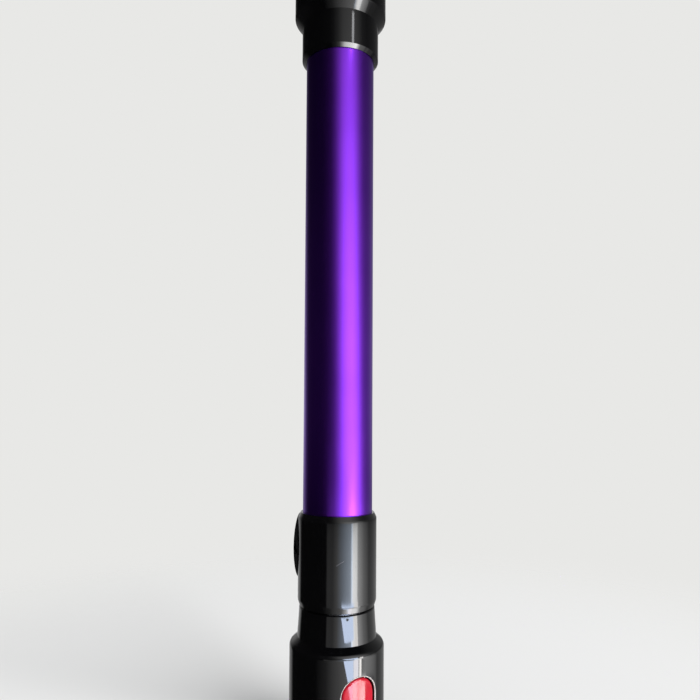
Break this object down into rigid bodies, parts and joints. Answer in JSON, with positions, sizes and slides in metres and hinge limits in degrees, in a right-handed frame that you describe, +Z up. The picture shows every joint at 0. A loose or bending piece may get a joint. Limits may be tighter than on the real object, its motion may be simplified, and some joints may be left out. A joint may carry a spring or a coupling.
{
  "type": "telescopic vacuum cleaner tube",
  "caption": "Telescopic vacuum cleaner tube: a violet outer tube slides on a plated inner tube, with a thumb-slide lock, a plug spigot and a socket with a red release button.",
  "frame": {"origin": "centre of the socket's rim, on the surface that the tube stands on", "axes": "+Z up the tube from the socket to the plug, -Y the way the red button faces"},
  "size_m": [0.0514, 0.0514, 0.4635],
  "materials": {
    "violet_anodised": "satin anodised",
    "plated_tube": "bright anodised",
    "black_gloss": "polished",
    "black_satin": "satin",
    "red_gloss": "polished",
    "guide_plastic": "natural",
    "seal_rubber": "matte",
    "wiper_felt": "felt",
    "bright_steel": "bright"
  },
  "bodies": {
    "lower_wand": {"inner_tube": "plated_tube", "guide_ring": "guide_plastic", "socket_cuff": "black_gloss", "socket_seal": "seal_rubber", "button_pin": "bright_steel", "release_spring": "bright_steel"},
    "release_button": {"release_button": "red_gloss"},
    "upper_wand": {"outer_tube": "violet_anodised", "plug_cuff": "black_gloss", "lock_sleeve": "black_gloss", "wiper_ring": "wiper_felt", "slide_bush": "guide_plastic"},
    "lock_button": {"lock_button": "black_satin", "lock_spring": "bright_steel"},
    "lock_tooth": {"lock_tooth": "bright_steel", "tooth_pin": "bright_steel"}
  },
  "joints": [
    {"name": "telescope", "type": "slide", "parent": "lower_wand", "child": "upper_wand", "axis": [0, 0, 1], "range_m": [0, 0.2]},
    {"name": "lock_slide", "type": "slide", "parent": "upper_wand", "child": "lock_button", "axis": [0, 0, -1], "range_m": [0, 0.006], "stiffness_N_per_m": 600, "springref_m": -0.003, "deforming": ["lock_spring"]},
    {"name": "tooth_lift", "type": "slide", "parent": "upper_wand", "child": "lock_tooth", "axis": [-0.6561, 0.7547, 0], "range_m": [0, 0.001]},
    {"name": "release_rock", "type": "hinge", "parent": "lower_wand", "child": "release_button", "pos_m": [0, -0.0214, 0.0245], "axis": [1, 0, 0], "range_deg": [0, 4.5], "stiffness_Nm_per_rad": 0.8, "springref_deg": -4.58, "deforming": ["release_spring"]}
  ],
  "couplings": [
    {"joint": "tooth_lift", "follows": "lock_slide", "ratio": 0.16666}
  ]
}
